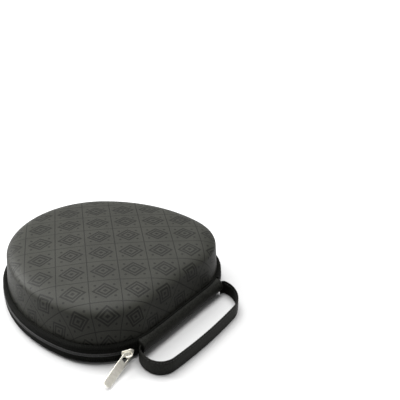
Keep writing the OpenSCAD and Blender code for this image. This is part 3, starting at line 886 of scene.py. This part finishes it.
def stops():
    """Metal stop at each end of the coil, clamped on the base's tape."""
    tape_r = BACK_R - TAPE_D
    parts = []
    far = math.asin((SPINE_HALF + 2.6 - BACK_HALF) / BACK_R)
    for side, a in ((-1, far), (1, SLIDER_ANGLE - math.radians(5.6))):
        spot = (side * (BACK_HALF + tape_r * math.sin(a)), BACK_Y - BACK_R + tape_r * math.cos(a),
                BASE_RIM - 2.6)
        place = Matrix.Translation(spot) @ Matrix.Rotation(-side * a, 4, "Z")
        loop = [(-0.8, 0, 0.3), (0.8, 0, 0.3), (0.8, 2.4, 0.3), (-0.8, 2.4, 0.3)]
        upright = Matrix.Translation((0, 0.43, 0)) @ Matrix.Rotation(math.radians(90), 4, "X")
        parts.append(moved(plate([loop], 0.7, 0.2), place @ upright))
    verts, faces = merge(parts)
    build("zipper_stops", verts, faces, "base", NICKEL, [(v[0], v[2]) for v in verts],
          sharp=50, nodes=("zipper_stops",))


# ---------------------------------------------------------------- lid fittings
def ceiling_of(lining):
    """Height of the lining's inner face above a place in plan."""
    mesh = lining.data
    tree = BVHTree.FromPolygons([v.co for v in mesh.vertices], [tuple(p.vertices) for p in mesh.polygons])

    def height(x, y):
        hit = tree.ray_cast(Vector((x * MM, y * MM, 0.02)), Vector((0, 0, 1)))
        return hit[0].z / MM if hit[0] else SHOULDER_Z - ROOM_E
    return height


def polar_loop(points, centre, n):
    """Where rays from centre, evenly turned, leave the closed outline of points."""
    pts = [np.array(p) - centre for p in points]
    out = []
    for k in range(n):
        t = 2 * math.pi * k / n
        ray = np.array([math.cos(t), math.sin(t)])
        best = 0.0
        for a, b in zip(pts, pts[1:] + pts[:1]):
            e = b - a
            den = ray[0] * e[1] - ray[1] * e[0]
            if abs(den) < 1e-12:
                continue
            r = (a[0] * e[1] - a[1] * e[0]) / den
            q = (a[0] * ray[1] - a[1] * ray[0]) / den
            if r > 0 and -1e-9 <= q <= 1 + 1e-9:
                best = max(best, r)
        out.append(ray * best)
    return out


def box_corners(hx, hy, r, y=0.0):
    """Corners of a rectangle about (0, y) for rounded()."""
    return [(-hx, y - hy, r), (hx, y - hy, r), (hx, y + hy, r), (-hx, y + hy, r)]


def accessory_tray(ceiling):
    """Arched foam block on the ceiling, its edges rounded, with a drafted pocket in its face."""
    n = 180
    arch_c = TRAY_Y - TRAY_CORNER / 2
    outline = [(TRAY_R * math.cos(t), arch_c + TRAY_R * math.sin(t))
               for t in np.linspace(math.radians(-3), math.radians(-177), 60)]
    corner_x, corner_y = TRAY_R - TRAY_CORNER - 1, TRAY_Y - TRAY_CORNER
    for side, t0, t1 in ((-1, math.pi, math.pi / 2), (1, math.pi / 2, 0)):
        outline += [(side * corner_x + TRAY_CORNER * math.cos(t), corner_y + TRAY_CORNER * math.sin(t))
                    for t in np.linspace(t0, t1, 10)]
    centre = np.array([0, POCKET_Y])
    hx, hy = POCKET_LEN / 2, POCKET_W / 2
    mouth = rounded(box_corners(hx, hy, POCKET_CORNER, POCKET_Y), 8)
    floor = rounded(box_corners(hx - POCKET_DRAFT, hy - POCKET_DRAFT * 0.7, POCKET_CORNER, POCKET_Y), 8)
    body, lip, bed = (polar_loop(p, centre, n) for p in (outline, mouth, floor))

    def ring(points, inset, z):
        out = []
        for p in points:
            r = np.linalg.norm(p)
            q = p * (r - inset) / r + centre
            out.append((q[0], q[1], z if not callable(z) else z(q[0], q[1])))
        return out

    edge, soft = 3.2, 2.0
    rings = [ring(body, 0.05, lambda x, y: ceiling(x, y) + 0.25),
             ring(body, 0.05, lambda x, y: max(TRAY_FACE_Z + edge,
                                               min(ceiling(x, y) - 0.4, TRAY_FACE_Z + edge + 4)))]
    for a in np.linspace(0, math.pi / 2, 7):
        rings.append(ring(body, 0.05 + edge * (1 - math.cos(a)), TRAY_FACE_Z + edge * (1 - math.sin(a))))
    for k in (0.25, 0.5, 0.75):
        rings.append([tuple(np.array(p) * (1 - k) + np.array(q) * k) for p, q in
                      zip(rings[8], ring(lip, -soft, TRAY_FACE_Z))])
    for a in np.linspace(0, math.pi / 2, 6):
        rings.append(ring(lip, -soft + soft * math.sin(a) + 0.05, TRAY_FACE_Z + soft * (1 - math.cos(a))))
    deep = TRAY_FACE_Z + POCKET_DEPTH
    wall = deep - TRAY_FACE_Z - soft - 1.0
    for k in np.linspace(0.3, 1, 4):
        rings.append([(p[0] * (1 - k) + q[0] * k + centre[0], p[1] * (1 - k) + q[1] * k + centre[1],
                       TRAY_FACE_Z + soft + wall * k) for p, q in zip(lip, bed)])
    rings.append(ring(bed, 0.5, deep - 0.35))
    rings.append(ring(bed, 1.5, deep - 0.05))
    for k in (0.75, 0.5, 0.25, 0.05):
        rings.append([(p[0] * k + centre[0], p[1] * k + centre[1], deep) for p in bed])
    verts, faces = skin(rings, caps=(True, True))
    # outside the pocket the sides are unrolled; inside it the UV is the place in plan
    build("accessory_tray", verts, faces, "lid", TRAY,
          [(v[0], v[1] + (v[2] - TRAY_FACE_Z if i < 12 * n else 0)) for i, v in enumerate(verts)],
          sharp=60, nodes=("accessory_tray",))


def cable_keeper(ceiling):
    """Stitched leather patch with a keyhole slit, laid on the ceiling."""
    cy = BACK_Y - KEEPER_FROM_BACK

    def loop(hx, hy, r):
        return [(x, y + cy) for x, y in rounded(box_corners(hx, hy, r), 10)]

    def place(p, lift):
        return (p[0], p[1], ceiling(p[0], p[1]) - lift)

    hx, hy = KEEPER_W / 2 - 0.1, KEEPER_LEN / 2 - 0.1
    slit_half = KEEPER_LEN * 0.34
    outer = loop(hx, hy, KEEPER_CORNER)
    slit = loop(1.1, slit_half + 1.7, 1.09)
    slit = [(x * (1.35 if abs(y - cy) > slit_half - 2.5 else 0.65), y) for x, y in slit]
    # share of the way from the edge to the slit, and how far the surface sinks below the top there
    levels = [(0.0, KEEPER_T - 0.15), (0.0, 0.45), (0.012, 0.12), (0.035, 0), (0.07, 0.12), (0.10, 0.3),
              (0.13, 0.1), (0.2, 0), (0.35, 0), (0.5, 0), (0.65, 0), (0.8, 0), (0.92, 0), (0.985, 0.1),
              (1.0, 0.4), (1.0, KEEPER_T - 0.15)]
    rings = [[place((a[0] * (1 - k) + b[0] * k, a[1] * (1 - k) + b[1] * k), KEEPER_T - sink)
              for a, b in zip(outer, slit)] for k, sink in levels]
    verts, faces = skin(rings, wrap_rings=True)
    build("cable_keeper", verts, faces, "lid", KEEPER, [(v[0], v[1]) for v in verts],
          nodes=("cable_keeper",))
    inset = 2.6
    path = loop(hx - inset, hy - inset, KEEPER_CORNER - inset)
    lengths = run_lengths(path + path[:1])
    count = int(lengths[-1] / 2.7)
    threads = []
    for i in range(count):
        s = lengths[-1] * i / count
        k = max(j for j in range(len(lengths)) if lengths[j] <= s + 1e-9)
        a, b = path[k % len(path)], path[(k + 1) % len(path)]
        t = (s - lengths[k]) / max(math.dist(a, b), 1e-9)
        x, y, z = place((a[0] + (b[0] - a[0]) * t, a[1] + (b[1] - a[1]) * t), KEEPER_T - 0.12)
        threads.append(ellipsoid((x, y, z), math.atan2(b[1] - a[1], b[0] - a[0]), (1.0, 0.24, 0.24)))
    verts, faces = merge(threads)
    build("keeper_stitches", verts, faces, "lid", THREAD, [(v[0], v[1]) for v in verts],
          sharp=80)


# ---------------------------------------------------------------- stage
FLOOR_HALF, FLOOR_TONE, WORLD_LIGHT = 12.0, 0.42, 0.45


def lamp(name, kind, place, aim, power):
    light = bpy.data.lights.new(name, kind)
    light.energy = power
    obj = bpy.data.objects.new(name, light)
    obj.location = place
    obj.rotation_mode = "QUATERNION"
    obj.rotation_quaternion = (Vector(place) - Vector(aim)).to_track_quat("Z", "Y")
    bpy.context.collection.objects.link(obj)
    return light


def stage():
    """Pale paper floor, an even sky, a wide light overhead and a softbox on the left."""
    h = FLOOR_HALF
    mesh = bpy.data.meshes.new("floor")
    mesh.from_pydata([(-h, -h, 0), (h, -h, 0), (h, h, 0), (-h, h, 0)], [], [(0, 1, 2, 3)])
    floor = bpy.data.objects.new("floor", mesh)
    floor.location.z = -0.0002
    bpy.context.collection.objects.link(floor)
    net = Net("floor_paper")
    mesh.materials.append(net.shade((FLOOR_TONE,) * 3, 0.9, specular=0.1))

    world = bpy.data.worlds.new("studio")
    bpy.context.scene.world = world
    world.use_nodes = True
    world.node_tree.nodes["Background"].inputs[0].default_value = (1, 1, 1, 1)
    world.node_tree.nodes["Background"].inputs[1].default_value = WORLD_LIGHT
    bpy.context.scene.view_settings.view_transform = "Standard"

    lamp("overhead", "SUN", (-0.25, -0.35, 1.5), (0, 0, 0.03), 6.6).angle = math.radians(56)
    softbox = lamp("left", "AREA", (0.35, -1.2, 0.7), (0, 0, 0.04), 34)
    softbox.shape, softbox.size = "DISK", 0.8


make_camera()
lining = covers()
ceiling = ceiling_of(lining)
rims()
tapes()
coils()
spine()
strap()
slider()
pull()
stops()
accessory_tray(ceiling)
cable_keeper(ceiling)
stage()
for node in ("base_shell", "lid_shell"):
    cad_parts[node].data.materials.clear()
    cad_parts[node].data.materials.append(FOAM)
